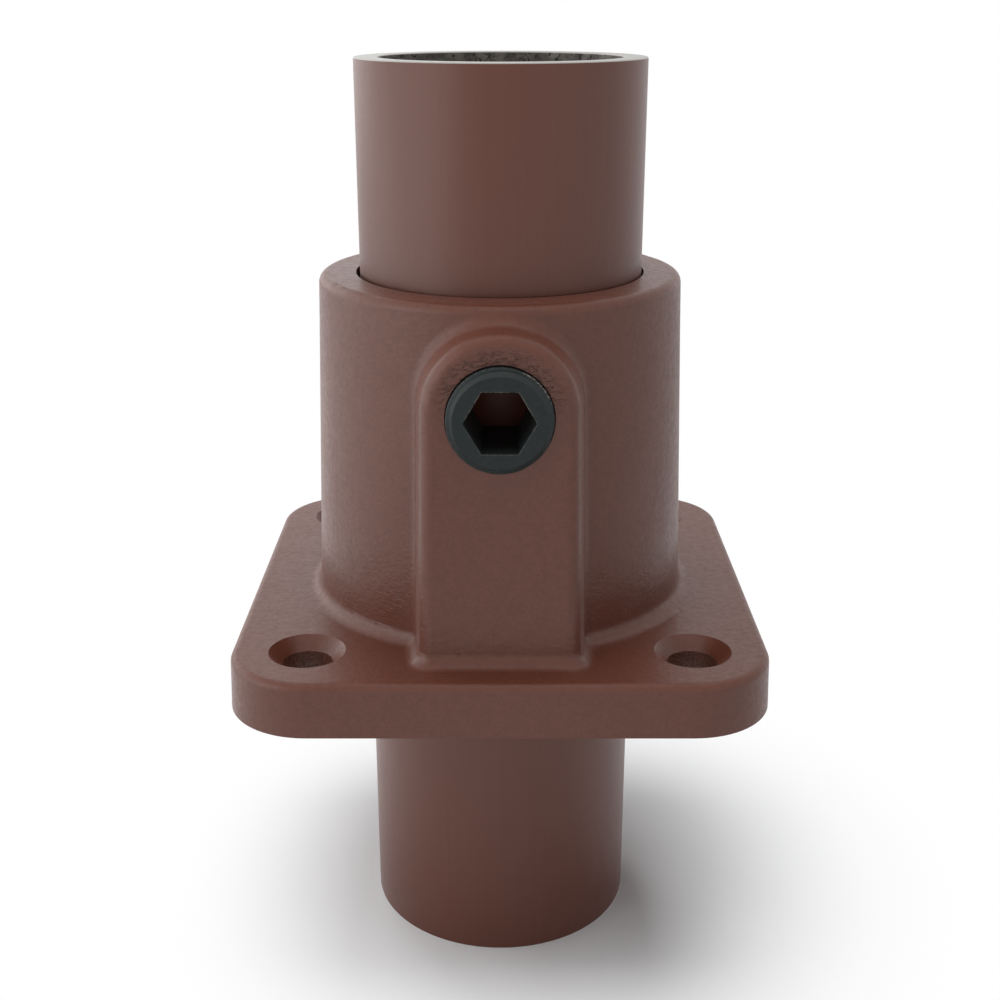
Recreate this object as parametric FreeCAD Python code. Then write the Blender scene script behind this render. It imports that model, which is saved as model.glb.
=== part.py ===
import FreeCAD, Part

import math
import os

from FreeCAD import Rotation, Vector

# Tube clamp base flange: an iron casting with a square plate, a round socket and a pad for one set screw,
# clamped on a tube that runs right through it.
# Millimetres. Z runs up the socket, Z = 0 is the underside of the plate, and the set screw faces -Y.

# tube
tube_diameter = 48.3
tube_wall = 4.0
tube_above_socket = 34.95
tube_below_plate = 56.15
tube_end_chamfer = 0.3

# fit of the tube in the socket, where the screw has pushed it to the back
bore_clearance = 1.0
seat_gap = 0.04
sideways_play = 0.13

# plate
plate_side = 89.36
plate_thickness = 9.1
plate_corner_radius = 13.9
plate_edge_radius = 1.3
plate_draft = 2.1

# holes in the plate
hole_spacing = 63.5
hole_diameter = 8.4
countersink_diameter = 12.7
countersink_angle = 90.0

# socket
socket_height = 66.25
socket_wall = 6.26
socket_rim_radius = 1.5
socket_draft = 1.95

# pad round the set screw
crown_below_rim = 3.44
pad_wall = 3.8
pad_reach = 5.14
pad_flare = 1.05
pad_side_draft = 8.0
pad_edge_radius = 2.2

# rounding of every inside corner of the casting
fillet_radius = 2.4

# set screw
screw_diameter = 16.66
screw_below_arch_centre = 0.58
screw_clearance = 0.15
screw_proud = 2.2
screw_chamfer = 1.05
screw_tip_chamfer = 1.2
screw_tip_gap = 0.03
hex_across_flats = 9.65
hex_edge_break = 0.15

# worked out from the sizes above
tube_radius = tube_diameter / 2
bore_radius = (tube_diameter + bore_clearance) / 2
tube_shift = math.sqrt((bore_radius - tube_radius - seat_gap) ** 2 - sideways_play ** 2)
tube_front = tube_shift - math.sqrt(tube_radius ** 2 - sideways_play ** 2)
socket_top_radius = bore_radius + socket_wall
socket_slope = math.tan(math.radians(socket_draft))
pad_radius = screw_diameter / 2 + pad_wall
arch_height = socket_height - crown_below_rim - pad_radius
screw_height = arch_height - screw_below_arch_centre
over = 1.0  # how far a cutter runs past the faces it opens


def socket_radius(height):
    """Outer radius of the drafted socket wall at a height."""
    return socket_top_radius + (socket_height - height) * socket_slope


def pad_face(height):
    """Y of the pad's face at a height. The face leans with the socket wall behind it."""
    return -(socket_radius(height) + pad_reach)


screw_face = pad_face(screw_height) - screw_proud
screw_tip = tube_front - screw_tip_gap


def edges_where(shape, test):
    """Edges of a shape that pass the test at both ends and in the middle."""
    found = []
    for edge in shape.Edges:
        span = edge.LastParameter - edge.FirstParameter
        points = [edge.valueAt(edge.FirstParameter + span * share) for share in (0.0, 0.5, 1.0)]
        if all(test(point) for point in points):
            found.append(edge)
    return found


def at_height(height):
    """Test for a point that lies at a height."""
    return lambda point: abs(point.z - height) < 0.001


def plate_outline(half, corner, height):
    """Square with round corners, centred on the bore."""
    flat = half - corner
    bend = flat + corner * math.sqrt(0.5)
    edges = []
    for turn in range(4):
        spin = Rotation(Vector(0, 0, 1), 90 * turn)
        side_start, side_end, bow, corner_end = [
            spin.multVec(Vector(x, y, height))
            for x, y in ((half, -flat), (half, flat), (bend, bend), (flat, half))
        ]
        edges.append(Part.LineSegment(side_start, side_end).toShape())
        edges.append(Part.Arc(side_end, bow, corner_end).toShape())
    return Part.Wire(edges)


def plate():
    """Drafted square plate with its top edge rounded."""
    half = plate_side / 2
    draw_in = plate_thickness * math.tan(math.radians(plate_draft))
    foot = plate_outline(half, plate_corner_radius, 0)
    top = plate_outline(half - draw_in, plate_corner_radius - draw_in, plate_thickness)
    blank = Part.makeLoft([foot, top], True, True)
    return blank.makeFillet(plate_edge_radius, edges_where(blank, at_height(plate_thickness)))


def socket():
    """Drafted round wall with its outer rim rounded, solid until the bore is cut."""
    blank = Part.makeCone(socket_radius(0), socket_top_radius, socket_height)
    return blank.makeFillet(socket_rim_radius, edges_where(blank, at_height(socket_height)))


def pad_outline(radius, depth):
    """Arch over the screw with legs that spread down into the plate, parallel to the leaning face."""
    flare = math.radians(pad_flare)
    toe_drop = arch_height - plate_thickness / 2
    side = Vector(radius * math.cos(flare), 0, radius * math.sin(flare))
    toe = Vector(side.x + (side.z + toe_drop) * math.tan(flare), 0, -toe_drop)
    lean = Rotation(Vector(1, 0, 0), -socket_draft)
    centre = Vector(0, pad_face(arch_height) + depth, arch_height)
    left_toe, left_side, crown, right_side, right_toe = [
        centre + lean.multVec(place)
        for place in (Vector(-toe.x, 0, toe.z), Vector(-side.x, 0, side.z), Vector(0, 0, radius), side, toe)
    ]
    return Part.Wire([
        Part.LineSegment(left_toe, left_side).toShape(),
        Part.Arc(left_side, crown, right_side).toShape(),
        Part.LineSegment(right_side, right_toe).toShape(),
        Part.LineSegment(right_toe, left_toe).toShape(),
    ])


def pad():
    """Arched pad, drafted from its rounded face back into the socket wall."""
    depth = pad_reach + socket_wall
    front = pad_outline(pad_radius, 0)
    back = pad_outline(pad_radius + depth * math.tan(math.radians(pad_side_draft)), depth)
    blank = Part.makeLoft([front, back], True, True)

    def on_face_above_plate(point):
        return abs(point.y - pad_face(point.z)) < 0.001

    rounded = [edge for edge in edges_where(blank, on_face_above_plate) if edge.CenterOfMass.z > plate_thickness]
    return blank.makeFillet(pad_edge_radius, rounded)


def casting_blank():
    """Plate, socket and pad in one, with a fillet along every line where two of them meet."""
    blank = plate().fuse([socket(), pad()]).removeSplitter()
    plate_flat = plate_side / 2 - plate_corner_radius / 2

    def on_root(point):
        inside = max(abs(point.x), abs(point.y)) < plate_flat
        return abs(point.z - plate_thickness) < 0.001 and inside

    def on_pad_side(point):
        on_wall = abs(math.hypot(point.x, point.y) - socket_radius(point.z)) < 0.01
        return on_wall and point.y < 0 and abs(point.x) < 2 * pad_radius and point.z > plate_thickness - 0.001

    corners = edges_where(blank, lambda point: on_root(point) or on_pad_side(point))
    return blank.makeFillet(fillet_radius, corners)


def countersunk_hole(x, y):
    """Cutter for one screw hole through the plate, sunk from above."""
    half_angle = math.radians(countersink_angle / 2)
    mouth = countersink_diameter / 2 + over * math.tan(half_angle)
    sink_depth = (mouth - hole_diameter / 2) / math.tan(half_angle)
    top = plate_thickness + over
    drill = Part.makeCylinder(hole_diameter / 2, top + over, Vector(x, y, -over))
    sink = Part.makeCone(hole_diameter / 2, mouth, sink_depth, Vector(x, y, top - sink_depth))
    return drill.fuse(sink)


def flange_casting():
    """The casting with its bore, screw hole and four plate holes."""
    bore = Part.makeCylinder(bore_radius, socket_height + 2 * over, Vector(0, 0, -over))
    mouth = Vector(0, screw_face, screw_height)
    screw_hole = Part.makeCylinder(screw_diameter / 2 + screw_clearance, -screw_face, mouth, Vector(0, 1, 0))
    reach = hole_spacing / 2
    holes = [countersunk_hole(x, y) for x in (-reach, reach) for y in (-reach, reach)]
    return casting_blank().cut([bore, screw_hole] + holes)


def chamfered_bar(radius, start, end, start_chamfer, end_chamfer):
    """Round bar along Z with a chamfer at each end."""
    profile = Part.makePolygon([
        Vector(0, 0, start),
        Vector(radius - start_chamfer, 0, start),
        Vector(radius, 0, start + start_chamfer),
        Vector(radius, 0, end - end_chamfer),
        Vector(radius - end_chamfer, 0, end),
        Vector(0, 0, end),
        Vector(0, 0, start),
    ])
    return Part.Face(profile).revolve(Vector(0, 0, 0), Vector(0, 0, 1), 360)


def tube():
    """Round tube, seated against the back of the bore."""
    foot = -tube_below_plate
    top = socket_height + tube_above_socket
    body = chamfered_bar(tube_radius, foot, top, tube_end_chamfer, tube_end_chamfer)
    hollow = Part.makeCylinder(tube_radius - tube_wall, top - foot + 2 * over, Vector(0, 0, foot - over))
    seated = body.cut(hollow)
    seated.translate(Vector(sideways_play, tube_shift, 0))
    return seated


def hexagon(across_flats, depth):
    """Hexagon with two flats level, at a depth below the screw's face. Z is the screw's axis."""
    corner = across_flats / math.sqrt(3)
    angles = [math.radians(60 * turn) for turn in range(7)]
    return Part.makePolygon([Vector(corner * math.cos(a), corner * math.sin(a), depth) for a in angles])


def set_screw():
    """Hollow set screw, with the hexagon right through it and its face broken along the flats."""
    length = screw_tip - screw_face
    body = chamfered_bar(screw_diameter / 2, 0, length, screw_chamfer, screw_tip_chamfer)
    key_hole = Part.Face(hexagon(hex_across_flats, -over)).extrude(Vector(0, 0, length + 2 * over))
    wide = hexagon(hex_across_flats + 2 * hex_edge_break, 0)
    edge_break = Part.makeLoft([wide, hexagon(hex_across_flats, hex_edge_break)], True, True)
    screw = body.cut([key_hole, edge_break])
    screw.rotate(Vector(0, 0, 0), Vector(1, 0, 0), -90)
    screw.translate(Vector(0, screw_face, screw_height))
    return screw


def write(name, shape):
    """Save one piece as its own file."""
    solid = shape.Solids[0] if len(shape.Solids) == 1 else shape
    solid.exportStep("parts/" + name + ".step")
    print(name, "valid", solid.isValid(), "solids", len(solid.Solids), "volume", round(solid.Volume, 1))


if __name__ == "__main__":
    os.makedirs("parts", exist_ok=True)
    write("flange_casting", flange_casting())
    write("set_screw", set_screw())
    write("tube", tube())
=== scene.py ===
import math

import bmesh
import bpy
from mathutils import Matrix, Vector


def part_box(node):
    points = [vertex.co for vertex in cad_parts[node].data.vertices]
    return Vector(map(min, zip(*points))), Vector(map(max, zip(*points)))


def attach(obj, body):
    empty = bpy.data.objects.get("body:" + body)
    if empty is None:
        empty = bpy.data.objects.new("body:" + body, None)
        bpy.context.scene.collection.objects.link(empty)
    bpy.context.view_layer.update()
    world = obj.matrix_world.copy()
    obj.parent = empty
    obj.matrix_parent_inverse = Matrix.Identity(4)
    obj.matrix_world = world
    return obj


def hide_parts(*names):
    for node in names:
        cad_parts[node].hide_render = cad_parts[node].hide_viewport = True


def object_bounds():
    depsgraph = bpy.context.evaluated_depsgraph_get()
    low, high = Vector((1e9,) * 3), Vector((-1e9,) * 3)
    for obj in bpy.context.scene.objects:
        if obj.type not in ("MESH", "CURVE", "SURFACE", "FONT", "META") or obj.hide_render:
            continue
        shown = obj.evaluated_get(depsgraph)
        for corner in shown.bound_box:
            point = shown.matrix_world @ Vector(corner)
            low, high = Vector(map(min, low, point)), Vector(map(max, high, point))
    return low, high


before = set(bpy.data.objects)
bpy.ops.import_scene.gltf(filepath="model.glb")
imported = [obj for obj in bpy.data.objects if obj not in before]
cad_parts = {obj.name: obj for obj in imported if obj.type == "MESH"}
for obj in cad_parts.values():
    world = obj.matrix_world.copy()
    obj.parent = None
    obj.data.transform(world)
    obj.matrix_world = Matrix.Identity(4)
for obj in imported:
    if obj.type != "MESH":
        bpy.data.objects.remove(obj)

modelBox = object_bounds()
mm = 0.001  # sizes below are in millimetres, the scene is in metres
floorHeight = modelBox[0][2]
screwLow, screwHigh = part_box("set_screw")
screwHeight = (screwLow.z + screwHigh.z) / 2
noiseSpan = (0.3, 0.7)  # nearly all of a noise's values lie between these
fromRange = ("From Min", "From Max")
toRange = ("To Min", "To Max")


def hexColour(code):
    # sRGB hex to the linear colour that the nodes want
    def channel(part):
        value = int(part, 16) / 255
        return value / 12.92 if value <= 0.04045 else ((value + 0.055) / 1.055) ** 2.4
    return (channel(code[1:3]), channel(code[3:5]), channel(code[5:7]), 1.0)


def addNode(tree, kind, inputs=None, **settings):
    # adds a node, sets its options, then fills or links its inputs
    # two inputs named together, such as fromRange, take a pair of values
    node = tree.nodes.new(kind)
    for name, value in settings.items():
        setattr(node, name, value)
    for sockets, values in (inputs or {}).items():
        pairs = zip(sockets, values) if isinstance(sockets, tuple) else [(sockets, values)]
        for socket, value in pairs:
            if isinstance(value, bpy.types.NodeSocket):
                tree.links.new(value, node.inputs[socket])
            else:
                node.inputs[socket].default_value = value
    return node


def newMaterial(name):
    material = bpy.data.materials.new(name)
    material.use_nodes = True
    material.node_tree.nodes.clear()
    return material, material.node_tree


def newShapeTree(name, sizes):
    # a Geometry Nodes tree with one named input for each size
    tree = bpy.data.node_groups.new(name, "GeometryNodeTree")
    tree.interface.new_socket(
        name="Geometry", in_out="INPUT", socket_type="NodeSocketGeometry")
    for label, value in sizes.items():
        kind = "NodeSocketInt" if isinstance(value, int) else "NodeSocketFloat"
        tree.interface.new_socket(name=label, in_out="INPUT", socket_type=kind)
    tree.interface.new_socket(
        name="Geometry", in_out="OUTPUT", socket_type="NodeSocketGeometry")
    return tree, tree.nodes.new("NodeGroupInput")


def grow(name, mesh, tree, sizes):
    # runs the tree on the mesh, then keeps the result as a plain mesh with no modifier
    piece = bpy.data.objects.new(name, mesh)
    bpy.context.scene.collection.objects.link(piece)
    modifier = piece.modifiers.new("shape", "NODES")
    modifier.node_group = tree
    for socket in tree.interface.items_tree:
        if socket.name in sizes:
            modifier[socket.identifier] = sizes[socket.name]
    evaluated = piece.evaluated_get(bpy.context.evaluated_depsgraph_get())
    result = bpy.data.meshes.new_from_object(evaluated)
    piece.modifiers.remove(modifier)
    piece.data = result
    result.name = name
    print(name, "has", len(result.vertices), "points and", len(result.polygons), "faces")
    return piece


def finishNormals(mesh, sharpAngle, weldWithin=0.0005 * mm):
    # faces point outwards, and corners steeper than sharpAngle stay crisp
    work = bmesh.new()
    work.from_mesh(mesh)
    bmesh.ops.remove_doubles(work, verts=work.verts, dist=weldWithin)
    bmesh.ops.recalc_face_normals(work, faces=work.faces)
    print("   open edges", sum(1 for edge in work.edges if len(edge.link_faces) != 2))
    work.to_mesh(mesh)
    work.free()
    mesh.set_sharp_from_angle(angle=math.radians(sharpAngle))


# camera, placed where the photo was taken from
camera = {
    "place": (0.01, -239.6, 110.735),
    "pitchDown": 19.908,
    "sensor": 36.0,
    "lens": 50.28,
    "seesFrom": 10,
    "seesTo": 50000,
}


def makeCamera():
    data = bpy.data.cameras.new("photoCamera")
    data.sensor_width = camera["sensor"]
    data.lens = camera["lens"]
    data.clip_start = camera["seesFrom"] * mm
    data.clip_end = camera["seesTo"] * mm
    shot = bpy.data.objects.new("photoCamera", data)
    shot.location = Vector(camera["place"]) * mm
    shot.rotation_euler = (math.radians(90 - camera["pitchDown"]), 0, 0)
    bpy.context.scene.collection.objects.link(shot)
    bpy.context.scene.camera = shot


makeCamera()
print("camera is set")

# polyester powder coat on sand-cast malleable iron, baked to a satin skin
# the sand's grain shows through it, so the gloss breaks up a little on every face
castPaint = {
    "colour": "#592F22",
    "hollowColour": "#512B1E",
    "toneBand": (0.75, 1.25),
    "roughness": 0.40,
    "roughnessSpread": 0.05,
    "haze": 0.05,  # a thin bloom on the coat that lightens it at low angles
    "hazeSpread": 0.3,
    # uneven skin of the casting
    "swell": 8.0,
    "swellHeight": 0.12,
    "sandGrain": 1.3,
    "sandHeight": 0.05,
    "sandAboveAndBelow": (0.5, 1.2),
    "fineGrain": 0.45,
    "fineHeight": 0.018,
    # pinholes
    "pitSpacing": 3.2,
    "pitWidth": 0.4,
    "pitDepth": 0.06,
    "cellsWithout": 0.68,  # share of the cells that have no pinhole
    # wrinkles low on the walls
    "wrinkle": 1.2,
    "wrinkleFlatness": 2.4,
    "wrinkleHeight": 0.08,
    "wrinkledTo": 16.0,
    "smoothFrom": 34.0,
    "wrinkleAbove": 0.25,
    "patchBand": (0.4, 0.65),
    "betweenPatches": 0.15,
    "wallTilt": (0.15, 0.6),
    # inside the drilled holes
    "holeReach": 31.75,  # from the plate's middle, along both of its sides
    "holeRadius": 4.25,  # a hair more than the drill, so that the whole wall is inside
    "drilledColour": "#4A2C22",
    "speckColour": "#7C4D3C",
    "speck": 0.36,
    "speckBand": (0.42, 0.62),
    # crazing over the screw
    "crazeColour": "#421D11",
    "craze": 1.2,
    "crazeFlatness": 2.5,
    "crazeHeight": 0.12,
    "crackBand": (0.53, 0.62),
    "crazedFrom": 9.2,
    "crazedTo": 11.9,
    "crazedBelow": 1.0,
    "crazedAbove": 5.0,
    "padFace": -34.0,  # at the screw's height only the pad reaches further forward
}


def makeCastPaint():
    material, tree = newMaterial("powderCoatOnCasting")
    coords = addNode(tree, "ShaderNodeTexCoord")
    place = coords.outputs["Object"]
    split = addNode(tree, "ShaderNodeSeparateXYZ", {0: place})
    swell = addNode(tree, "ShaderNodeTexNoise", {
        "Vector": place, "Scale": 1 / (castPaint["swell"] * mm), "Detail": 1.0})
    sand = addNode(tree, "ShaderNodeTexNoise", {
        "Vector": place, "Scale": 1 / (castPaint["sandGrain"] * mm), "Detail": 2.0})
    fine = addNode(tree, "ShaderNodeTexNoise", {
        "Vector": place, "Scale": 1 / (castPaint["fineGrain"] * mm), "Detail": 1.0})

    # pinholes that the coat has rounded over, in about one cell of three
    cells = addNode(tree, "ShaderNodeTexVoronoi", {
        "Vector": place, "Scale": 1 / (castPaint["pitSpacing"] * mm)})
    hollow = addNode(tree, "ShaderNodeMapRange", {
        "Value": cells.outputs["Distance"],
        "From Max": castPaint["pitWidth"] / castPaint["pitSpacing"],
        toRange: (1.0, 0.0)}, interpolation_type="SMOOTHSTEP")
    pick = addNode(tree, "ShaderNodeSeparateColor", {"Color": cells.outputs["Color"]})
    some = addNode(tree, "ShaderNodeMath", {
        0: pick.outputs["Red"], 1: castPaint["cellsWithout"]}, operation="GREATER_THAN")
    pit = addNode(tree, "ShaderNodeMath", {
        0: hollow.outputs["Result"], 1: some.outputs[0]}, operation="MULTIPLY")

    # the iron chilled in short level wrinkles low on the walls, where the mould filled first
    squashed = addNode(tree, "ShaderNodeMapping", {
        "Vector": place, "Scale": (1.0, 1.0, castPaint["wrinkleFlatness"])})
    wrinkle = addNode(tree, "ShaderNodeTexNoise", {
        "Vector": squashed.outputs["Vector"], "Scale": 1 / (castPaint["wrinkle"] * mm),
        "Detail": 3.0, "Distortion": 0.5})
    low = addNode(tree, "ShaderNodeMapRange", {
        "Value": split.outputs["Z"],
        fromRange: (castPaint["wrinkledTo"] * mm, castPaint["smoothFrom"] * mm),
        toRange: (1.0, castPaint["wrinkleAbove"])}, interpolation_type="SMOOTHSTEP")
    patches = addNode(tree, "ShaderNodeMapRange", {
        "Value": swell.outputs["Fac"], fromRange: castPaint["patchBand"],
        toRange: (castPaint["betweenPatches"], 1.0)})
    facing = addNode(tree, "ShaderNodeNewGeometry")
    lean = addNode(tree, "ShaderNodeSeparateXYZ", {0: facing.outputs["Normal"]})
    onWall = addNode(tree, "ShaderNodeMapRange", {
        "Value": lean.outputs["Z"], fromRange: castPaint["wallTilt"], toRange: (1.0, 0.0)})
    wallLow = addNode(tree, "ShaderNodeMath", {
        0: onWall.outputs["Result"], 1: low.outputs["Result"]}, operation="MULTIPLY")
    folds = addNode(tree, "ShaderNodeMath", {
        0: wrinkle.outputs["Fac"], 1: wallLow.outputs[0]}, operation="MULTIPLY")
    foldHeight = addNode(tree, "ShaderNodeMath", {
        0: folds.outputs[0], 1: patches.outputs["Result"]}, operation="MULTIPLY")
    sandByHeight = addNode(tree, "ShaderNodeMapRange", {
        "Value": low.outputs["Result"], toRange: castPaint["sandAboveAndBelow"]})
    sandRise = addNode(tree, "ShaderNodeMath", {
        0: sand.outputs["Fac"], 1: sandByHeight.outputs["Result"]}, operation="MULTIPLY")

    # the coat is a little darker and rougher in the grain's hollows
    grain = addNode(tree, "ShaderNodeMath", {
        0: sand.outputs["Fac"], 1: fine.outputs["Fac"]}, operation="ADD")
    tone = addNode(tree, "ShaderNodeMapRange", {
        "Value": grain.outputs[0], fromRange: castPaint["toneBand"]})
    raised = addNode(tree, "ShaderNodeMath", {
        0: tone.outputs["Result"], 1: pit.outputs[0]}, operation="SUBTRACT", use_clamp=True)
    skinColour = addNode(tree, "ShaderNodeMix", {
        0: raised.outputs[0], 6: hexColour(castPaint["hollowColour"]),
        7: hexColour(castPaint["colour"])}, data_type="RGBA")
    rough = addNode(tree, "ShaderNodeMapRange", {
        "Value": raised.outputs[0],
        "To Min": castPaint["roughness"] + castPaint["roughnessSpread"],
        "To Max": castPaint["roughness"] - castPaint["roughnessSpread"]})

    # the four holes were drilled after casting, and the coat lies in them as specks
    folded = addNode(tree, "ShaderNodeVectorMath", {0: place}, operation="ABSOLUTE")
    fromHole = addNode(tree, "ShaderNodeVectorMath", {
        0: folded.outputs[0],
        1: (castPaint["holeReach"] * mm, castPaint["holeReach"] * mm, 0.0)}, operation="SUBTRACT")
    inPlan = addNode(tree, "ShaderNodeVectorMath", {
        0: fromHole.outputs[0], 1: (1.0, 1.0, 0.0)}, operation="MULTIPLY")
    holeDistance = addNode(tree, "ShaderNodeVectorMath", {
        0: inPlan.outputs[0]}, operation="LENGTH")
    drilled = addNode(tree, "ShaderNodeMath", {
        0: holeDistance.outputs["Value"], 1: castPaint["holeRadius"] * mm}, operation="LESS_THAN")
    specks = addNode(tree, "ShaderNodeTexNoise", {
        "Vector": place, "Scale": 1 / (castPaint["speck"] * mm),
        "Detail": 4.0, "Roughness": 0.65})
    spotted = addNode(tree, "ShaderNodeMapRange", {
        "Value": specks.outputs["Fac"], fromRange: castPaint["speckBand"]})
    holeColour = addNode(tree, "ShaderNodeMix", {
        0: spotted.outputs["Result"], 6: hexColour(castPaint["drilledColour"]),
        7: hexColour(castPaint["speckColour"])}, data_type="RGBA")
    withHoles = addNode(tree, "ShaderNodeMix", {
        0: drilled.outputs[0], 6: skinColour.outputs[2], 7: holeColour.outputs[2]},
        data_type="RGBA")

    # the skin is crazed over the screw's hole, where the iron met the core that formed it
    fromAxis = addNode(tree, "ShaderNodeVectorMath", {
        0: place, 1: (0.0, 0.0, screwHeight)}, operation="SUBTRACT")
    inFace = addNode(tree, "ShaderNodeVectorMath", {
        0: fromAxis.outputs[0], 1: (1.0, 0.0, 1.0)}, operation="MULTIPLY")
    screwDistance = addNode(tree, "ShaderNodeVectorMath", {
        0: inFace.outputs[0]}, operation="LENGTH")
    nearScrew = addNode(tree, "ShaderNodeMapRange", {
        "Value": screwDistance.outputs["Value"],
        fromRange: (castPaint["crazedFrom"] * mm, castPaint["crazedTo"] * mm),
        toRange: (1.0, 0.0)})
    aboveScrew = addNode(tree, "ShaderNodeMapRange", {
        "Value": split.outputs["Z"],
        "From Min": screwHeight - castPaint["crazedBelow"] * mm,
        "From Max": screwHeight + castPaint["crazedAbove"] * mm})
    onPad = addNode(tree, "ShaderNodeMath", {
        0: split.outputs["Y"], 1: castPaint["padFace"] * mm}, operation="LESS_THAN")
    overHole = addNode(tree, "ShaderNodeMath", {
        0: nearScrew.outputs["Result"], 1: aboveScrew.outputs["Result"]}, operation="MULTIPLY")
    crazedSkin = addNode(tree, "ShaderNodeMath", {
        0: overHole.outputs[0], 1: onPad.outputs[0]}, operation="MULTIPLY")
    thin = addNode(tree, "ShaderNodeMapping", {
        "Vector": place, "Scale": (1.0, 1.0, castPaint["crazeFlatness"])})
    craze = addNode(tree, "ShaderNodeTexNoise", {
        "Vector": thin.outputs["Vector"], "Scale": 1 / (castPaint["craze"] * mm),
        "Detail": 2.0, "Distortion": 1.0})
    cracks = addNode(tree, "ShaderNodeMapRange", {
        "Value": craze.outputs["Fac"], fromRange: castPaint["crackBand"]})
    crazed = addNode(tree, "ShaderNodeMath", {
        0: cracks.outputs["Result"], 1: crazedSkin.outputs[0]}, operation="MULTIPLY")
    coat = addNode(tree, "ShaderNodeMix", {
        0: crazed.outputs[0], 6: withHoles.outputs[2],
        7: hexColour(castPaint["crazeColour"])}, data_type="RGBA")

    # each form lies on the one before, from the widest to the finest, and pits go inwards
    normal = {}
    for height, rise, inwards in [
            (swell.outputs["Fac"], "swellHeight", False),
            (foldHeight.outputs[0], "wrinkleHeight", False),
            (sandRise.outputs[0], "sandHeight", False),
            (fine.outputs["Fac"], "fineHeight", False),
            (pit.outputs[0], "pitDepth", True),
            (crazed.outputs[0], "crazeHeight", True)]:
        bump = addNode(tree, "ShaderNodeBump", {
            "Distance": castPaint[rise] * mm, "Height": height, **normal}, invert=inwards)
        normal = {"Normal": bump.outputs["Normal"]}
    shader = addNode(tree, "ShaderNodeBsdfPrincipled", {
        "Base Color": coat.outputs[2], "Roughness": rough.outputs["Result"], "IOR": 1.5,
        "Sheen Weight": castPaint["haze"], "Sheen Roughness": castPaint["hazeSpread"], **normal})
    addNode(tree, "ShaderNodeOutputMaterial", {"Surface": shader.outputs["BSDF"]})
    return material


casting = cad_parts["flange_casting"]
casting.data.materials[0] = makeCastPaint()
print("casting is painted")

# the tube
tubeLow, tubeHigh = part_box("tube")
tubeSizes = {
    "Outside Radius": 24.15 * mm,
    "Wall": 4.0 * mm,
    "Length": tubeHigh.z - tubeLow.z,
    "Edge Round": 0.25 * mm,
    "Segments": 256,
}
# the screw has pushed the tube to the back of the socket
tubeCentre = Vector((0.13 * mm, 0.44125 * mm, (tubeHigh.z + tubeLow.z) / 2))
endTilt = 0.3  # a face that leans this far up or down belongs to one of the tube's ends

# the same powder coat on drawn tube, which is smooth under it
# only a soft orange peel and a few nibs of dust break its gloss
tubePaint = {
    "colour": "#542C20",
    "paleColour": "#562E21",
    "roughness": 0.40,
    "roughnessSpread": 0.02,
    "haze": 0.09,
    "hazeSpread": 0.3,
    "peel": 2.4,
    "peelHeight": 0.02,
    "nibs": 0.6,
    "nibHeight": 0.004,
    "drawLine": 0.7,
    "drawLength": 40.0,
    # where the screw bears on it: painted shade at the bottom of the screw's bore, and a
    # smoother, less glossy coat
    "paintedBoreShadeColour": "#3E1C13",
    "shadeAndPressFrom": 5.6,
    "shadeAndPressTo": 6.6,
    "crushedSmoothing": -0.08,
    "glossAndCrushedGloss": (0.5, 0.14),
}


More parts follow.
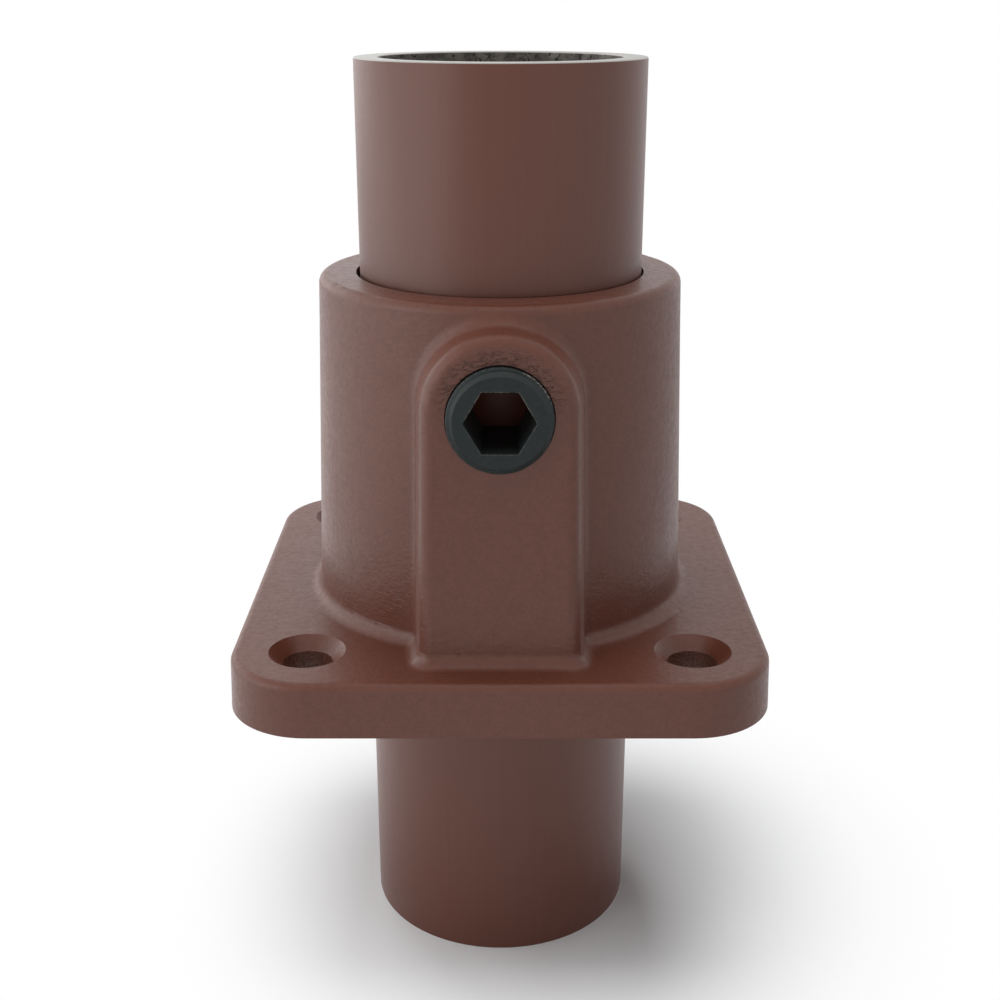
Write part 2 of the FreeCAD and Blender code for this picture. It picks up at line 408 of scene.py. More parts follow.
def makeTubePaint():
    material, tree = newMaterial("powderCoatOnTube")
    coords = addNode(tree, "ShaderNodeTexCoord")
    place = coords.outputs["Object"]
    peel = addNode(tree, "ShaderNodeTexNoise", {
        "Vector": place, "Scale": 1 / (tubePaint["peel"] * mm), "Detail": 1.0})
    nibs = addNode(tree, "ShaderNodeTexNoise", {
        "Vector": place, "Scale": 1 / (tubePaint["nibs"] * mm), "Detail": 2.0})
    # faint lines along the tube from drawing it
    along = addNode(tree, "ShaderNodeMapping", {
        "Vector": place, "Scale": (1.0, 1.0, tubePaint["drawLine"] / tubePaint["drawLength"])})
    lines = addNode(tree, "ShaderNodeTexNoise", {
        "Vector": along.outputs["Vector"], "Scale": 1 / (tubePaint["drawLine"] * mm),
        "Detail": 1.0})
    tone = addNode(tree, "ShaderNodeMapRange", {
        "Value": lines.outputs["Fac"], fromRange: noiseSpan})
    colour = addNode(tree, "ShaderNodeMix", {
        0: tone.outputs["Result"], 6: hexColour(tubePaint["colour"]),
        7: hexColour(tubePaint["paleColour"])}, data_type="RGBA")
    rough = addNode(tree, "ShaderNodeMapRange", {
        "Value": nibs.outputs["Fac"], fromRange: noiseSpan,
        "To Min": tubePaint["roughness"] - tubePaint["roughnessSpread"],
        "To Max": tubePaint["roughness"] + tubePaint["roughnessSpread"]})
    # painted shade: the coat is darkened where the screw bears on it, at the bottom of the
    # screw's bore, where little light reaches; it is also made smoother and less glossy there
    bearing = (0.0, tubeCentre.y - tubeSizes["Outside Radius"], screwHeight)
    onTube = addNode(tree, "ShaderNodeVectorMath", {0: place, 1: bearing}, operation="SUBTRACT")
    fromScrew = addNode(tree, "ShaderNodeVectorMath", {0: onTube.outputs[0]}, operation="LENGTH")
    shadeAndPress = addNode(tree, "ShaderNodeMapRange", {
        "Value": fromScrew.outputs["Value"],
        fromRange: (tubePaint["shadeAndPressFrom"] * mm, tubePaint["shadeAndPressTo"] * mm),
        toRange: (1.0, 0.0)})
    withBoreShade = addNode(tree, "ShaderNodeMix", {
        0: shadeAndPress.outputs["Result"], 6: colour.outputs[2],
        7: hexColour(tubePaint["paintedBoreShadeColour"])}, data_type="RGBA")
    smoothed = addNode(tree, "ShaderNodeMath", {
        0: shadeAndPress.outputs["Result"], 1: tubePaint["crushedSmoothing"],
        2: rough.outputs["Result"]}, operation="MULTIPLY_ADD")
    gloss = addNode(tree, "ShaderNodeMapRange", {
        "Value": shadeAndPress.outputs["Result"], toRange: tubePaint["glossAndCrushedGloss"]})
    peelBump = addNode(tree, "ShaderNodeBump", {
        "Distance": tubePaint["peelHeight"] * mm, "Height": peel.outputs["Fac"]})
    nibBump = addNode(tree, "ShaderNodeBump", {
        "Distance": tubePaint["nibHeight"] * mm, "Height": nibs.outputs["Fac"],
        "Normal": peelBump.outputs["Normal"]})
    shader = addNode(tree, "ShaderNodeBsdfPrincipled", {
        "Base Color": withBoreShade.outputs[2], "Roughness": smoothed.outputs[0], "IOR": 1.5,
        "Specular IOR Level": gloss.outputs["Result"], "Sheen Weight": tubePaint["haze"],
        "Sheen Roughness": tubePaint["hazeSpread"], "Normal": nibBump.outputs["Normal"]})
    addNode(tree, "ShaderNodeOutputMaterial", {"Surface": shader.outputs["BSDF"]})
    return material


# mill scale inside the tube: dull grey-brown iron oxide left by hot rolling
# it has flaked off in dark specks, so the wall looks mottled and hardly shines
millScale = {
    "colour": "#6B6660",
    "darkColour": "#3D3A36",
    "fleckColour": "#171613",
    "roughness": (0.5, 0.7),
    "metal": 0.4,
    "patch": 2.2,
    "patchBand": (0.35, 0.65),
    "patchHeight": 0.08,
    "fleck": 0.9,
    "fleckBand": (0.57, 0.64),
    "grit": 0.35,
    "gritHeight": 0.03,
}


def makeMillScale():
    material, tree = newMaterial("millScaleInTube")
    coords = addNode(tree, "ShaderNodeTexCoord")
    place = coords.outputs["Object"]
    patch = addNode(tree, "ShaderNodeTexNoise", {
        "Vector": place, "Scale": 1 / (millScale["patch"] * mm),
        "Detail": 4.0, "Roughness": 0.6})
    grit = addNode(tree, "ShaderNodeTexNoise", {
        "Vector": place, "Scale": 1 / (millScale["grit"] * mm), "Detail": 2.0})
    fleck = addNode(tree, "ShaderNodeTexNoise", {
        "Vector": place, "Scale": 1 / (millScale["fleck"] * mm),
        "Detail": 3.0, "Distortion": 1.0})
    tone = addNode(tree, "ShaderNodeMapRange", {
        "Value": patch.outputs["Fac"], fromRange: millScale["patchBand"]})
    base = addNode(tree, "ShaderNodeMix", {
        0: tone.outputs["Result"], 6: hexColour(millScale["darkColour"]),
        7: hexColour(millScale["colour"])}, data_type="RGBA")
    flaked = addNode(tree, "ShaderNodeMapRange", {
        "Value": fleck.outputs["Fac"], fromRange: millScale["fleckBand"]})
    colour = addNode(tree, "ShaderNodeMix", {
        0: flaked.outputs["Result"], 6: base.outputs[2],
        7: hexColour(millScale["fleckColour"])}, data_type="RGBA")
    rough = addNode(tree, "ShaderNodeMapRange", {
        "Value": grit.outputs["Fac"], fromRange: noiseSpan, toRange: millScale["roughness"]})
    patchBump = addNode(tree, "ShaderNodeBump", {
        "Distance": millScale["patchHeight"] * mm, "Height": patch.outputs["Fac"]})
    gritBump = addNode(tree, "ShaderNodeBump", {
        "Distance": millScale["gritHeight"] * mm, "Height": grit.outputs["Fac"],
        "Normal": patchBump.outputs["Normal"]})
    shader = addNode(tree, "ShaderNodeBsdfPrincipled", {
        "Base Color": colour.outputs[2], "Roughness": rough.outputs["Result"],
        "Metallic": millScale["metal"], "Normal": gritBump.outputs["Normal"]})
    addNode(tree, "ShaderNodeOutputMaterial", {"Surface": shader.outputs["BSDF"]})
    return material


# sawn and brushed steel on the tube's ends: bright, with fine straight lines across the rim
cutSteel = {
    "colour": "#B9B6B2",
    "dullColour": "#98948F",
    "roughness": (0.32, 0.48),
    "line": 0.3,
    "lineSqueeze": 0.08,  # a line is this much narrower than it is long
    "lineHeight": 0.01,
}


def makeCutSteel():
    material, tree = newMaterial("sawnSteelRim")
    coords = addNode(tree, "ShaderNodeTexCoord")
    across = addNode(tree, "ShaderNodeMapping", {
        "Vector": coords.outputs["Object"], "Scale": (1.0, cutSteel["lineSqueeze"], 1.0)})
    lines = addNode(tree, "ShaderNodeTexNoise", {
        "Vector": across.outputs["Vector"], "Scale": 1 / (cutSteel["line"] * mm),
        "Detail": 3.0})
    colour = addNode(tree, "ShaderNodeMix", {
        0: lines.outputs["Fac"], 6: hexColour(cutSteel["dullColour"]),
        7: hexColour(cutSteel["colour"])}, data_type="RGBA")
    rough = addNode(tree, "ShaderNodeMapRange", {
        "Value": lines.outputs["Fac"], fromRange: noiseSpan, toRange: cutSteel["roughness"]})
    bump = addNode(tree, "ShaderNodeBump", {
        "Distance": cutSteel["lineHeight"] * mm, "Height": lines.outputs["Fac"]})
    shader = addNode(tree, "ShaderNodeBsdfPrincipled", {
        "Base Color": colour.outputs[2], "Roughness": rough.outputs["Result"],
        "Metallic": 1.0, "Normal": bump.outputs["Normal"]})
    addNode(tree, "ShaderNodeOutputMaterial", {"Surface": shader.outputs["BSDF"]})
    return material


def makeTubeTree(paint, scale, rim):
    # a rounded strip swept round a circle, then a finish for each side of the wall
    tree, given = newShapeTree("tubeShape", tubeSizes)
    strip = addNode(tree, "GeometryNodeCurvePrimitiveQuadrilateral", {
        "Width": given.outputs["Wall"], "Height": given.outputs["Length"]})
    rounded = addNode(tree, "GeometryNodeFilletCurve", {
        "Curve": strip.outputs["Curve"], "Count": 4,
        "Radius": given.outputs["Edge Round"]}, mode="POLY")
    halfWall = addNode(tree, "ShaderNodeMath", {
        0: given.outputs["Wall"], 1: 0.5}, operation="MULTIPLY")
    middle = addNode(tree, "ShaderNodeMath", {
        0: given.outputs["Outside Radius"], 1: halfWall.outputs[0]}, operation="SUBTRACT")
    path = addNode(tree, "GeometryNodeCurvePrimitiveCircle", {
        "Resolution": given.outputs["Segments"], "Radius": middle.outputs[0]})
    swept = addNode(tree, "GeometryNodeCurveToMesh", {
        "Curve": path.outputs["Curve"], "Profile Curve": rounded.outputs["Curve"]})
    smooth = addNode(tree, "GeometryNodeSetShadeSmooth", {"Geometry": swept.outputs["Mesh"]})
    realized = addNode(tree, "GeometryNodeRealizeInstances", {
        "Geometry": smooth.outputs["Geometry"]})

    # faces nearer the axis than the wall's middle are its inside
    # faces that point up or down are its ends, and the rest keep the paint
    normal = addNode(tree, "GeometryNodeInputNormal")
    spot = addNode(tree, "GeometryNodeInputPosition")
    flat = addNode(tree, "ShaderNodeVectorMath", {
        0: spot.outputs[0], 1: (1.0, 1.0, 0.0)}, operation="MULTIPLY")
    reach = addNode(tree, "ShaderNodeVectorMath", {0: flat.outputs[0]}, operation="LENGTH")
    inner = addNode(tree, "ShaderNodeMath", {
        0: reach.outputs["Value"], 1: middle.outputs[0]}, operation="LESS_THAN")
    split = addNode(tree, "ShaderNodeSeparateXYZ", {0: normal.outputs[0]})
    upright = addNode(tree, "ShaderNodeMath", {0: split.outputs["Z"]}, operation="ABSOLUTE")
    end = addNode(tree, "ShaderNodeMath", {
        0: upright.outputs[0], 1: endTilt}, operation="GREATER_THAN")
    painted = addNode(tree, "GeometryNodeSetMaterial", {
        "Geometry": realized.outputs["Geometry"], "Material": paint})
    scaled = addNode(tree, "GeometryNodeSetMaterial", {
        "Geometry": painted.outputs["Geometry"], "Selection": inner.outputs[0],
        "Material": scale})
    cut = addNode(tree, "GeometryNodeSetMaterial", {
        "Geometry": scaled.outputs["Geometry"], "Selection": end.outputs[0],
        "Material": rim})
    addNode(tree, "NodeGroupOutput", {0: cut.outputs["Geometry"]})
    return tree


tubeTree = makeTubeTree(makeTubePaint(), makeMillScale(), makeCutSteel())
tube = grow("steelTube", bpy.data.meshes.new("tubeStart"), tubeTree, tubeSizes)
for point in tube.data.vertices:
    point.co += tubeCentre
finishNormals(tube.data, sharpAngle=35)
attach(tube, "root")
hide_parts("tube")
print("tube is made")

# black oxide on a machined steel screw: a thin dark coat that keeps the metal's sheen
# bare steel shows where use has rubbed the hexagon's edge and some thread crests, and as painted
# highlights on the edge's upper part, the crests at the upper right and the top of the chamfer
screwSteel = {
    "colour": "#2A2F2F",
    "darkColour": "#262B2B",
    "bareAndHighlightColour": "#8C8781",
    "roughness": 0.40,
    "roughnessSpread": 0.05,
    "coatAndBareMetal": (0.3, 1.0),
    "specular": 0.15,
    "mottle": 0.8,
    "mottleHeight": 0.006,
    "scuff": 0.5,
    "scuffBand": (0.42, 0.6),
    "ringSpacing": 0.754,  # drawn coarser than a lathe leaves them, so that they show
    "ringHeight": 0.0015,
}
waveTurns = 20 / (2 * math.pi)  # rings in one unit of a wave texture whose scale is 1


def makeScrewSteel():
    material, tree = newMaterial("blackOxideOnScrew")
    coords = addNode(tree, "ShaderNodeTexCoord")
    place = coords.outputs["Object"]
    mottle = addNode(tree, "ShaderNodeTexNoise", {
        "Vector": place, "Scale": 1 / (screwSteel["mottle"] * mm), "Detail": 3.0})
    tone = addNode(tree, "ShaderNodeMapRange", {
        "Value": mottle.outputs["Fac"], fromRange: noiseSpan})
    coat = addNode(tree, "ShaderNodeMix", {
        0: tone.outputs["Result"], 6: hexColour(screwSteel["darkColour"]),
        7: hexColour(screwSteel["colour"])}, data_type="RGBA")
    rough = addNode(tree, "ShaderNodeMapRange", {
        "Value": tone.outputs["Result"],
        "To Min": screwSteel["roughness"] + screwSteel["roughnessSpread"],
        "To Max": screwSteel["roughness"] - screwSteel["roughnessSpread"]})
    # the mesh says where bare steel shows in flecks, as wear and painted highlight, and where the
    # chamfer's top carries an even painted highlight
    wornAndLit = addNode(tree, "ShaderNodeAttribute", attribute_name="wear")
    chamferGleam = addNode(tree, "ShaderNodeAttribute", attribute_name="polish")
    scuff = addNode(tree, "ShaderNodeTexNoise", {
        "Vector": place, "Scale": 1 / (screwSteel["scuff"] * mm), "Detail": 2.0})
    patchy = addNode(tree, "ShaderNodeMapRange", {
        "Value": scuff.outputs["Fac"], fromRange: screwSteel["scuffBand"]})
    flecked = addNode(tree, "ShaderNodeMath", {
        0: wornAndLit.outputs["Fac"], 1: patchy.outputs["Result"]}, operation="MULTIPLY")
    bareAndLit = addNode(tree, "ShaderNodeMath", {
        0: flecked.outputs[0], 1: chamferGleam.outputs["Fac"]}, operation="MAXIMUM")
    colour = addNode(tree, "ShaderNodeMix", {
        0: bareAndLit.outputs[0], 6: coat.outputs[2],
        7: hexColour(screwSteel["bareAndHighlightColour"])}, data_type="RGBA")
    metal = addNode(tree, "ShaderNodeMapRange", {
        "Value": bareAndLit.outputs[0], toRange: screwSteel["coatAndBareMetal"]})
    # rings left by the lathe on the face, about the screw's axis
    onAxis = addNode(tree, "ShaderNodeMapping", {
        "Vector": place, "Location": (0.0, 0.0, -screwHeight)})
    turned = addNode(tree, "ShaderNodeTexWave", {
        "Vector": onAxis.outputs["Vector"],
        "Scale": 1 / (screwSteel["ringSpacing"] * mm * waveTurns), "Distortion": 0.3},
        wave_type="RINGS", rings_direction="Y")
    turnBump = addNode(tree, "ShaderNodeBump", {
        "Distance": screwSteel["ringHeight"] * mm, "Height": turned.outputs["Fac"]})
    mottleBump = addNode(tree, "ShaderNodeBump", {
        "Distance": screwSteel["mottleHeight"] * mm, "Height": mottle.outputs["Fac"],
        "Normal": turnBump.outputs["Normal"]})
    shader = addNode(tree, "ShaderNodeBsdfPrincipled", {
        "Base Color": colour.outputs[2], "Roughness": rough.outputs["Result"],
        "Metallic": metal.outputs["Result"], "Specular IOR Level": screwSteel["specular"],
        "Normal": mottleBump.outputs["Normal"]})
    addNode(tree, "ShaderNodeOutputMaterial", {"Surface": shader.outputs["BSDF"]})
    return material


screwSizes = {
    "Thread Radius": 8.33 * mm,
    "Pitch": 1.337 * mm,
    "Thread Depth": 0.856 * mm,
    "Flats Radius": 4.825 * mm,
    "Edge Break": 0.15 * mm,
    "Turn Segments": 216,
}
screwDetail = {
    "faceChamfer": 1.05,
    "tipChamfer": 1.2,
    # points along the section
    "boreStep": 6.0,
    "faceStep": 1.0,
    "rowsPerPitch": 14,
    "cornerSoftness": 0.04,
    "mostSoftness": 0.25,  # of the line's length
    # wear and painted highlights, by the sine of the angle up from level or by the angle itself
    # in degrees
    "upperPart": (-0.2, 0.9),
    "edgeWearAndHighlight": (0.12, 0.75),
    "chamferHighlightMost": 0.035,
    "crestDepths": (-0.3, -0.05),
    # the crests' painted highlight is centred at this angle, and crests elsewhere keep light wear
    "crestHighlightAt": 42,
    "crestHighlightFor": (13, 25),
    "crestWearElsewhere": 0.1,
    # how far past its own size a point still counts as on the edge or the chamfer
    "edgeSlack": 1.05,
    "chamferSlack": 1.02,
}


def drawScrewProfile():
    # half section of the screw as a closed line: x is the radius, y runs from the face to the tip
    front, back = screwLow.y, screwHigh.y
    outer = screwSizes["Thread Radius"]
    flats = screwSizes["Flats Radius"]
    edge = screwSizes["Edge Break"]
    chamfer, tip = screwDetail["faceChamfer"] * mm, screwDetail["tipChamfer"] * mm
    row = screwSizes["Pitch"] / screwDetail["rowsPerPitch"]
    boreStep, faceStep = screwDetail["boreStep"] * mm, screwDetail["faceStep"] * mm
    corners = [
        (flats, back, boreStep), (flats, front + edge, edge), (flats + edge, front, faceStep),
        (outer - chamfer, front, row), (outer, front + chamfer, row), (outer, back - tip, row),
        (outer - tip, back, faceStep)]
    points = []
    for (x, y, step), (nextX, nextY, _) in zip(corners, corners[1:] + corners[:1]):
        start, stop = Vector((x, y, 0)), Vector((nextX, nextY, 0))
        length = (stop - start).length
        soft = min(screwDetail["cornerSoftness"] * mm / length, screwDetail["mostSoftness"])
        count = max(1, round(length * (1 - 2 * soft) / step))
        shares = [0] + [soft + (1 - 2 * soft) * i / count for i in range(count + 1)]
        points += [start.lerp(stop, share) for share in shares]
    mesh = bpy.data.meshes.new("screwProfile")
    mesh.from_pydata(points, [(i, (i + 1) % len(points)) for i in range(len(points))], [])
    return mesh


def makeScrewTree(finish):
    # spins the section, cuts the thread into its outside and shapes its bore to a hexagon
    tree, given = newShapeTree("setScrewShape", screwSizes)
    section = addNode(tree, "GeometryNodeMeshToCurve", {"Mesh": given.outputs["Geometry"]})
    drawn = addNode(tree, "GeometryNodeInputPosition")
    drawnAt = addNode(tree, "ShaderNodeSeparateXYZ", {0: drawn.outputs[0]})
    withRadius = addNode(tree, "GeometryNodeStoreNamedAttribute", {
        "Geometry": section.outputs["Curve"], "Name": "radius0",
        "Value": drawnAt.outputs["X"]}, data_type="FLOAT", domain="POINT")
    withAlong = addNode(tree, "GeometryNodeStoreNamedAttribute", {
        "Geometry": withRadius.outputs["Geometry"], "Name": "along0",
        "Value": drawnAt.outputs["Y"]}, data_type="FLOAT", domain="POINT")
    circle = addNode(tree, "GeometryNodeCurvePrimitiveCircle", {
        "Resolution": given.outputs["Turn Segments"], "Radius": 1.0})
    spun = addNode(tree, "GeometryNodeCurveToMesh", {
        "Curve": circle.outputs["Curve"], "Profile Curve": withAlong.outputs["Geometry"]})

    radius = addNode(tree, "GeometryNodeInputNamedAttribute", {
        "Name": "radius0"}, data_type="FLOAT")
    along = addNode(tree, "GeometryNodeInputNamedAttribute", {
        "Name": "along0"}, data_type="FLOAT")
    spot = addNode(tree, "GeometryNodeInputPosition")
    spunAt = addNode(tree, "ShaderNodeSeparateXYZ", {0: spot.outputs[0]})
    angle = addNode(tree, "ShaderNodeMath", {
        0: spunAt.outputs["Y"], 1: spunAt.outputs["X"]}, operation="ARCTAN2")

    # thread: radius falls and rises once for each pitch, and the wave turns with the angle
    turns = addNode(tree, "ShaderNodeMath", {
        0: along.outputs[0], 1: given.outputs["Pitch"]}, operation="DIVIDE")
    phase = addNode(tree, "ShaderNodeMath", {
        0: turns.outputs[0], 1: 2 * math.pi, 2: angle.outputs[0]}, operation="MULTIPLY_ADD")
    wave = addNode(tree, "ShaderNodeMath", {0: phase.outputs[0]}, operation="COSINE")
    dip = addNode(tree, "ShaderNodeMapRange", {
        "Value": wave.outputs[0], fromRange: (-1.0, 1.0)})
    groove = addNode(tree, "ShaderNodeMath", {
        0: dip.outputs["Result"], 1: given.outputs["Thread Depth"]}, operation="MULTIPLY")
    threadRadius = addNode(tree, "ShaderNodeMath", {
        0: given.outputs["Thread Radius"], 1: groove.outputs[0]}, operation="SUBTRACT")

    # hexagon: flats at top and bottom, full at the bore and fading out towards the thread
    fromCorner = addNode(tree, "ShaderNodeMath", {
        0: angle.outputs[0], 1: math.pi / 6}, operation="PINGPONG")
    fromFlat = addNode(tree, "ShaderNodeMath", {
        0: math.pi / 6, 1: fromCorner.outputs[0]}, operation="SUBTRACT")
    cosine = addNode(tree, "ShaderNodeMath", {0: fromFlat.outputs[0]}, operation="COSINE")
    hexRadius = addNode(tree, "ShaderNodeMath", {
        0: radius.outputs[0], 1: cosine.outputs[0]}, operation="DIVIDE")
    boreEdge = addNode(tree, "ShaderNodeMath", {
        0: given.outputs["Flats Radius"], 1: given.outputs["Edge Break"]}, operation="ADD")
    fadeEnd = addNode(tree, "ShaderNodeMath", {
        0: given.outputs["Thread Radius"], 1: screwDetail["tipChamfer"] * mm},
        operation="SUBTRACT")
    share = addNode(tree, "ShaderNodeMapRange", {
        "Value": radius.outputs[0], fromRange: (boreEdge.outputs[0], fadeEnd.outputs[0]),
        toRange: (1.0, 0.0)})
    shaped = addNode(tree, "ShaderNodeMix", {
        0: share.outputs["Result"], 2: radius.outputs[0], 3: hexRadius.outputs[0]},
        data_type="FLOAT")
    final = addNode(tree, "ShaderNodeMath", {
        0: shaped.outputs[0], 1: threadRadius.outputs[0]}, operation="MINIMUM")

    sideways = addNode(tree, "ShaderNodeMath", {0: angle.outputs[0]}, operation="COSINE")
    upwards = addNode(tree, "ShaderNodeMath", {0: angle.outputs[0]}, operation="SINE")
    x = addNode(tree, "ShaderNodeMath", {
        0: final.outputs[0], 1: sideways.outputs[0]}, operation="MULTIPLY")
    z = addNode(tree, "ShaderNodeMath", {
        0: final.outputs[0], 1: upwards.outputs[0], 2: screwHeight}, operation="MULTIPLY_ADD")
    target = addNode(tree, "ShaderNodeCombineXYZ", {
        "X": x.outputs[0], "Y": along.outputs[0], "Z": z.outputs[0]})

    # wear on the hexagon's broken edge, with a painted highlight making it strongest on the upper
    # part
    atBreak = addNode(tree, "ShaderNodeMath", {
        0: radius.outputs[0], 1: given.outputs["Flats Radius"],
        2: given.outputs["Edge Break"]}, operation="COMPARE")
    atFace = addNode(tree, "ShaderNodeMath", {
        0: along.outputs[0], 1: screwLow.y,
        2: screwSizes["Edge Break"] * screwDetail["edgeSlack"]}, operation="COMPARE")
    onBreak = addNode(tree, "ShaderNodeMath", {
        0: atBreak.outputs[0], 1: atFace.outputs[0]}, operation="MULTIPLY")
    high = addNode(tree, "ShaderNodeMapRange", {
        "Value": upwards.outputs[0], fromRange: screwDetail["upperPart"],
        toRange: screwDetail["edgeWearAndHighlight"]})
    edgeWearAndHighlight = addNode(tree, "ShaderNodeMath", {
        0: onBreak.outputs[0], 1: high.outputs["Result"]}, operation="MULTIPLY")

    # light wear on every thread crest, and a painted highlight on the crests at the upper right
    cutAway = addNode(tree, "ShaderNodeMath", {
        0: final.outputs[0], 1: given.outputs["Thread Radius"]}, operation="SUBTRACT")
    crest = addNode(tree, "ShaderNodeMapRange", {
        "Value": cutAway.outputs[0],
        fromRange: [depth * mm for depth in screwDetail["crestDepths"]]})
    fromCrestHighlight = addNode(tree, "ShaderNodeMath", {
        0: angle.outputs[0], 1: math.radians(screwDetail["crestHighlightAt"])}, operation="SUBTRACT")
    aside = addNode(tree, "ShaderNodeMath", {0: fromCrestHighlight.outputs[0]}, operation="ABSOLUTE")
    crestHighlightSide = addNode(tree, "ShaderNodeMapRange", {
        "Value": aside.outputs[0],
        fromRange: [math.radians(turn) for turn in screwDetail["crestHighlightFor"]],
        toRange: (1.0, screwDetail["crestWearElsewhere"])})
    crestWearAndHighlight = addNode(tree, "ShaderNodeMath", {
        0: crest.outputs["Result"], 1: crestHighlightSide.outputs["Result"]}, operation="MULTIPLY")
    wear = addNode(tree, "ShaderNodeMath", {
        0: edgeWearAndHighlight.outputs[0], 1: crestWearAndHighlight.outputs[0]}, operation="MAXIMUM")

    # a painted highlight, as a little bare steel, on the upper part of the face's chamfer
    chamfer = screwDetail["faceChamfer"] * screwDetail["chamferSlack"] * mm
    isOuter = addNode(tree, "ShaderNodeMath", {
        0: radius.outputs[0], 1: screwSizes["Thread Radius"] - chamfer},
        operation="GREATER_THAN")
    isFront = addNode(tree, "ShaderNodeMath", {
        0: along.outputs[0], 1: screwLow.y + chamfer}, operation="LESS_THAN")
    onChamfer = addNode(tree, "ShaderNodeMath", {
        0: isOuter.outputs[0], 1: isFront.outputs[0]}, operation="MULTIPLY")
    chamferGleam = addNode(tree, "ShaderNodeMapRange", {
        "Value": upwards.outputs[0], fromRange: screwDetail["upperPart"],
        toRange: (0.0, screwDetail["chamferHighlightMost"])})
    polish = addNode(tree, "ShaderNodeMath", {
        0: onChamfer.outputs[0], 1: chamferGleam.outputs["Result"]}, operation="MULTIPLY")

    withWear = addNode(tree, "GeometryNodeStoreNamedAttribute", {
        "Geometry": spun.outputs["Mesh"], "Name": "wear",
        "Value": wear.outputs[0]}, data_type="FLOAT", domain="POINT")
    withPolish = addNode(tree, "GeometryNodeStoreNamedAttribute", {
        "Geometry": withWear.outputs["Geometry"], "Name": "polish",
        "Value": polish.outputs[0]}, data_type="FLOAT", domain="POINT")
    formed = addNode(tree, "GeometryNodeSetPosition", {
        "Geometry": withPolish.outputs["Geometry"], "Position": target.outputs[0]})
    smooth = addNode(tree, "GeometryNodeSetShadeSmooth", {
        "Geometry": formed.outputs["Geometry"]})
    realized = addNode(tree, "GeometryNodeRealizeInstances", {
        "Geometry": smooth.outputs["Geometry"]})
    finished = addNode(tree, "GeometryNodeSetMaterial", {
        "Geometry": realized.outputs["Geometry"], "Material": finish})
    addNode(tree, "NodeGroupOutput", {0: finished.outputs["Geometry"]})
    return tree


screw = grow("setScrew", drawScrewProfile(), makeScrewTree(makeScrewSteel()), screwSizes)
finishNormals(screw.data, sharpAngle=50)
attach(screw, "root")
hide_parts("set_screw")
print("set screw is made")

# white studio: a matt floor that keeps the shadow and turns to plain white further out
studio = {
    "floorSize": 6000,
    "floorColour": "#E7E7E7",  # what lights the part from below
    "seenFloorColour": "#FFFFFF",  # what the camera and reflections see
    "seenNearFoot": "#FBFDFF",
    "whiteCentre": (10, 8),  # the shadow lies a little to the right and behind
    "whiteFrom": 30,
    "whiteTo": 88,
    "mirrorWhiteFrom": 350,
    "mirrorWhiteTo": 900,
    "ambient": 0.06,
    "lampTarget": (0, 0, 20),
}
white = (1.0, 1.0, 1.0, 1.0)


def makeFloor():
    half = studio["floorSize"] / 2 * mm
    mesh = bpy.data.meshes.new("studioFloor")
    corners = [(-half, -half), (half, -half), (half, half), (-half, half)]
    mesh.from_pydata([(x, y, floorHeight) for x, y in corners], [], [(0, 1, 2, 3)])
    floor = bpy.data.objects.new("studioFloor", mesh)
    bpy.context.scene.collection.objects.link(floor)
    material, tree = newMaterial("paleFloor")
    path = addNode(tree, "ShaderNodeLightPath")
    mirrored = addNode(tree, "ShaderNodeMath", {
        0: path.outputs["Is Glossy Ray"], 1: path.outputs["Is Transmission Ray"]},
        operation="MAXIMUM")
    seen = addNode(tree, "ShaderNodeMath", {
        0: path.outputs["Is Camera Ray"], 1: mirrored.outputs[0]}, operation="MAXIMUM")

    # the camera sees plain white just beyond the shadow, reflections see it only far out
    centreX, centreY = studio["whiteCentre"]
    coords = addNode(tree, "ShaderNodeTexCoord")
    offset = addNode(tree, "ShaderNodeVectorMath", {
        0: coords.outputs["Object"], 1: (centreX * mm, centreY * mm, floorHeight)},
        operation="SUBTRACT")
    away = addNode(tree, "ShaderNodeVectorMath", {0: offset.outputs[0]}, operation="LENGTH")
    nearFade = addNode(tree, "ShaderNodeMapRange", {
        "Value": away.outputs["Value"],
        fromRange: (studio["whiteFrom"] * mm, studio["whiteTo"] * mm)},
        interpolation_type="SMOOTHSTEP")
    farFade = addNode(tree, "ShaderNodeMapRange", {
        "Value": away.outputs["Value"],
        fromRange: (studio["mirrorWhiteFrom"] * mm, studio["mirrorWhiteTo"] * mm)},
        interpolation_type="SMOOTHSTEP")
    shown = addNode(tree, "ShaderNodeMath", {
        0: path.outputs["Is Camera Ray"], 1: nearFade.outputs["Result"]}, operation="MULTIPLY")
    share = addNode(tree, "ShaderNodeMath", {
        0: mirrored.outputs[0], 1: farFade.outputs["Result"], 2: shown.outputs[0]},
        operation="MULTIPLY_ADD")

    # a trace of blue by the foot evens out the red light that the paint throws there
    shade = addNode(tree, "ShaderNodeMix", {
        0: nearFade.outputs["Result"], 6: hexColour(studio["seenNearFoot"]),
        7: hexColour(studio["seenFloorColour"])}, data_type="RGBA")
    tone = addNode(tree, "ShaderNodeMix", {
        0: seen.outputs[0], 6: hexColour(studio["floorColour"]), 7: shade.outputs[2]},
        data_type="RGBA")
    matt = addNode(tree, "ShaderNodeBsdfDiffuse", {"Color": tone.outputs[2]})
    plain = addNode(tree, "ShaderNodeEmission", {"Color": white, "Strength": 1.0})
    both = addNode(tree, "ShaderNodeMixShader", {
        0: share.outputs[0], 1: matt.outputs["BSDF"], 2: plain.outputs["Emission"]})
    addNode(tree, "ShaderNodeOutputMaterial", {"Surface": both.outputs["Shader"]})
    mesh.materials.append(material)


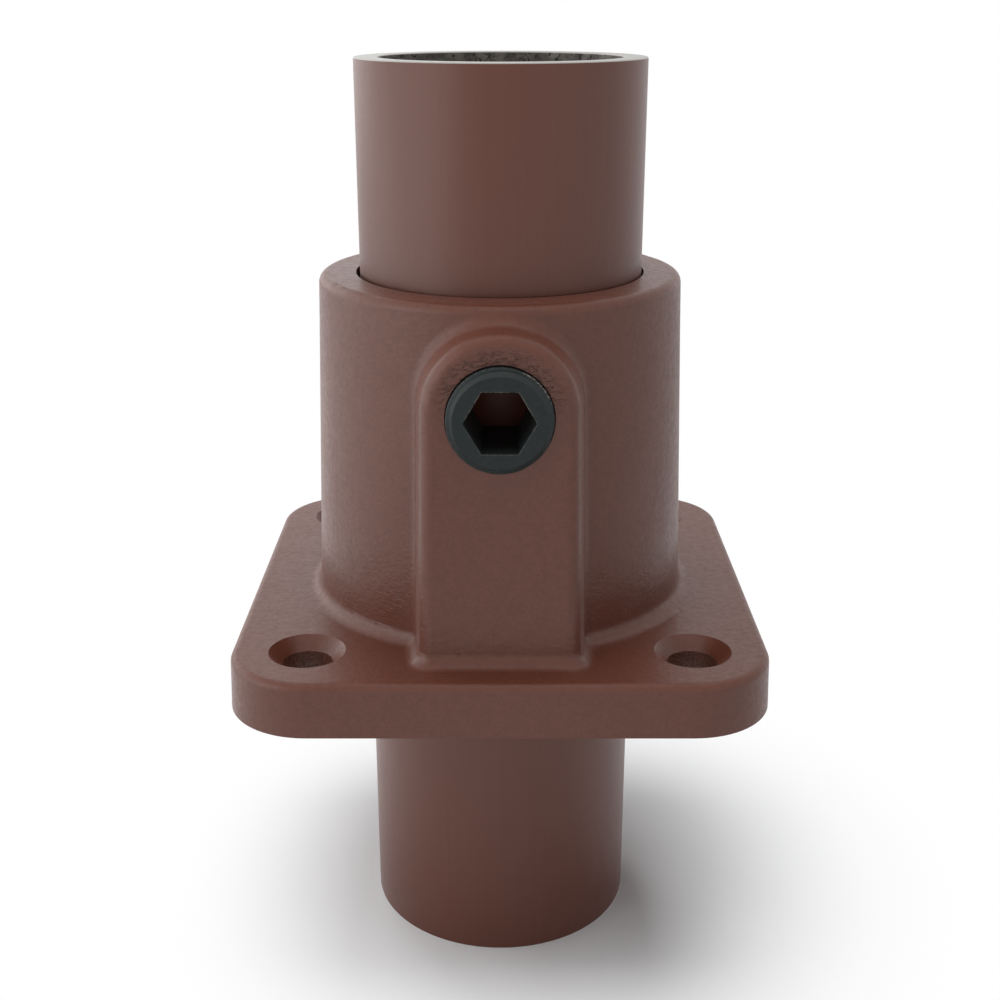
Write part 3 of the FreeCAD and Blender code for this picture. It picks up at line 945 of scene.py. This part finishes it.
def makeWorld():
    # white to the camera and in reflections, and only a faint fill on matt surfaces
    world = bpy.data.worlds.new("whiteStudio")
    world.use_nodes = True
    bpy.context.scene.world = world
    tree = world.node_tree
    tree.nodes.clear()
    path = addNode(tree, "ShaderNodeLightPath")
    cameraOrGlossy = addNode(tree, "ShaderNodeMath", {
        0: path.outputs["Is Camera Ray"], 1: path.outputs["Is Glossy Ray"]},
        operation="MAXIMUM")
    seen = addNode(tree, "ShaderNodeMath", {
        0: cameraOrGlossy.outputs[0], 1: path.outputs["Is Transmission Ray"]},
        operation="MAXIMUM")
    soft = addNode(tree, "ShaderNodeMath", {
        0: path.outputs["Is Diffuse Ray"], 1: studio["ambient"]}, operation="MULTIPLY")
    strength = addNode(tree, "ShaderNodeMath", {
        0: seen.outputs[0], 1: soft.outputs[0]}, operation="ADD")
    background = addNode(tree, "ShaderNodeBackground", {
        "Color": white, "Strength": strength.outputs[0]})
    addNode(tree, "ShaderNodeOutputWorld", {"Surface": background.outputs["Background"]})


# soft boxes round the object, brighter on its left
# glow is in watts for each square metre and steradian, so a bigger box gives more light
# a box with no sheen lights the matt colour only, so fillets don't show it as a bright line
lamps = {
    "overhead": {"place": (0, 0, 650), "size": (500, 500), "glow": 4.24, "sheen": False},
    "overheadSheen": {"place": (0, 0, 650), "size": (500, 500), "glow": 0.76, "sheen": True},
    "left": {"place": (-520, -30, 160), "size": (420, 420), "glow": 1.16, "sheen": False},
    "leftWide": {"place": (-560, -60, 240), "size": (1100, 600), "glow": 0.73, "sheen": True},
    "leftLow": {"place": (-620, -100, 60), "size": (700, 200), "glow": 0.58, "sheen": True},
    "leftFront": {"place": (-420, -380, 180), "size": (380, 380), "glow": 0.60, "sheen": True},
    "leftBack": {"place": (-420, 380, 220), "size": (340, 340), "glow": 0.86, "sheen": True},
    "backLeft": {"place": (-260, 620, 260), "size": (340, 340), "glow": 3.40, "sheen": False},
    "backLeftSheen": {"place": (-180, 620, 230), "size": (420, 380), "glow": 0.34, "sheen": True},
    "frontLow": {"place": (0, -620, 60), "size": (700, 200), "glow": 1.89, "sheen": False},
    "frontLowSheen": {"place": (0, -620, 60), "size": (700, 200), "glow": 0.77, "sheen": True},
    "right": {"place": (520, -30, 160), "size": (420, 420), "glow": 0.49, "sheen": False},
    "rightSheen": {"place": (520, -30, 160), "size": (420, 420), "glow": 0.19, "sheen": True},
    "rightFront": {"place": (420, -380, 180), "size": (380, 380), "glow": 0.17, "sheen": True},
}


def makeLamps():
    target = Vector(studio["lampTarget"]) * mm
    for name, lamp in lamps.items():
        width, height = lamp["size"][0] * mm, lamp["size"][1] * mm
        data = bpy.data.lights.new(name, "AREA")
        data.shape = "RECTANGLE"
        data.size = width
        data.size_y = height
        data.energy = lamp["glow"] * width * height * math.pi
        box = bpy.data.objects.new(name, data)
        box.location = Vector(lamp["place"]) * mm
        box.rotation_euler = (target - box.location).to_track_quat("-Z", "Y").to_euler()
        box.visible_camera = False
        box.visible_glossy = lamp["sheen"]
        bpy.context.scene.collection.objects.link(box)


makeFloor()
makeWorld()
makeLamps()
bpy.context.scene.view_settings.view_transform = "Standard"
print("studio is set")
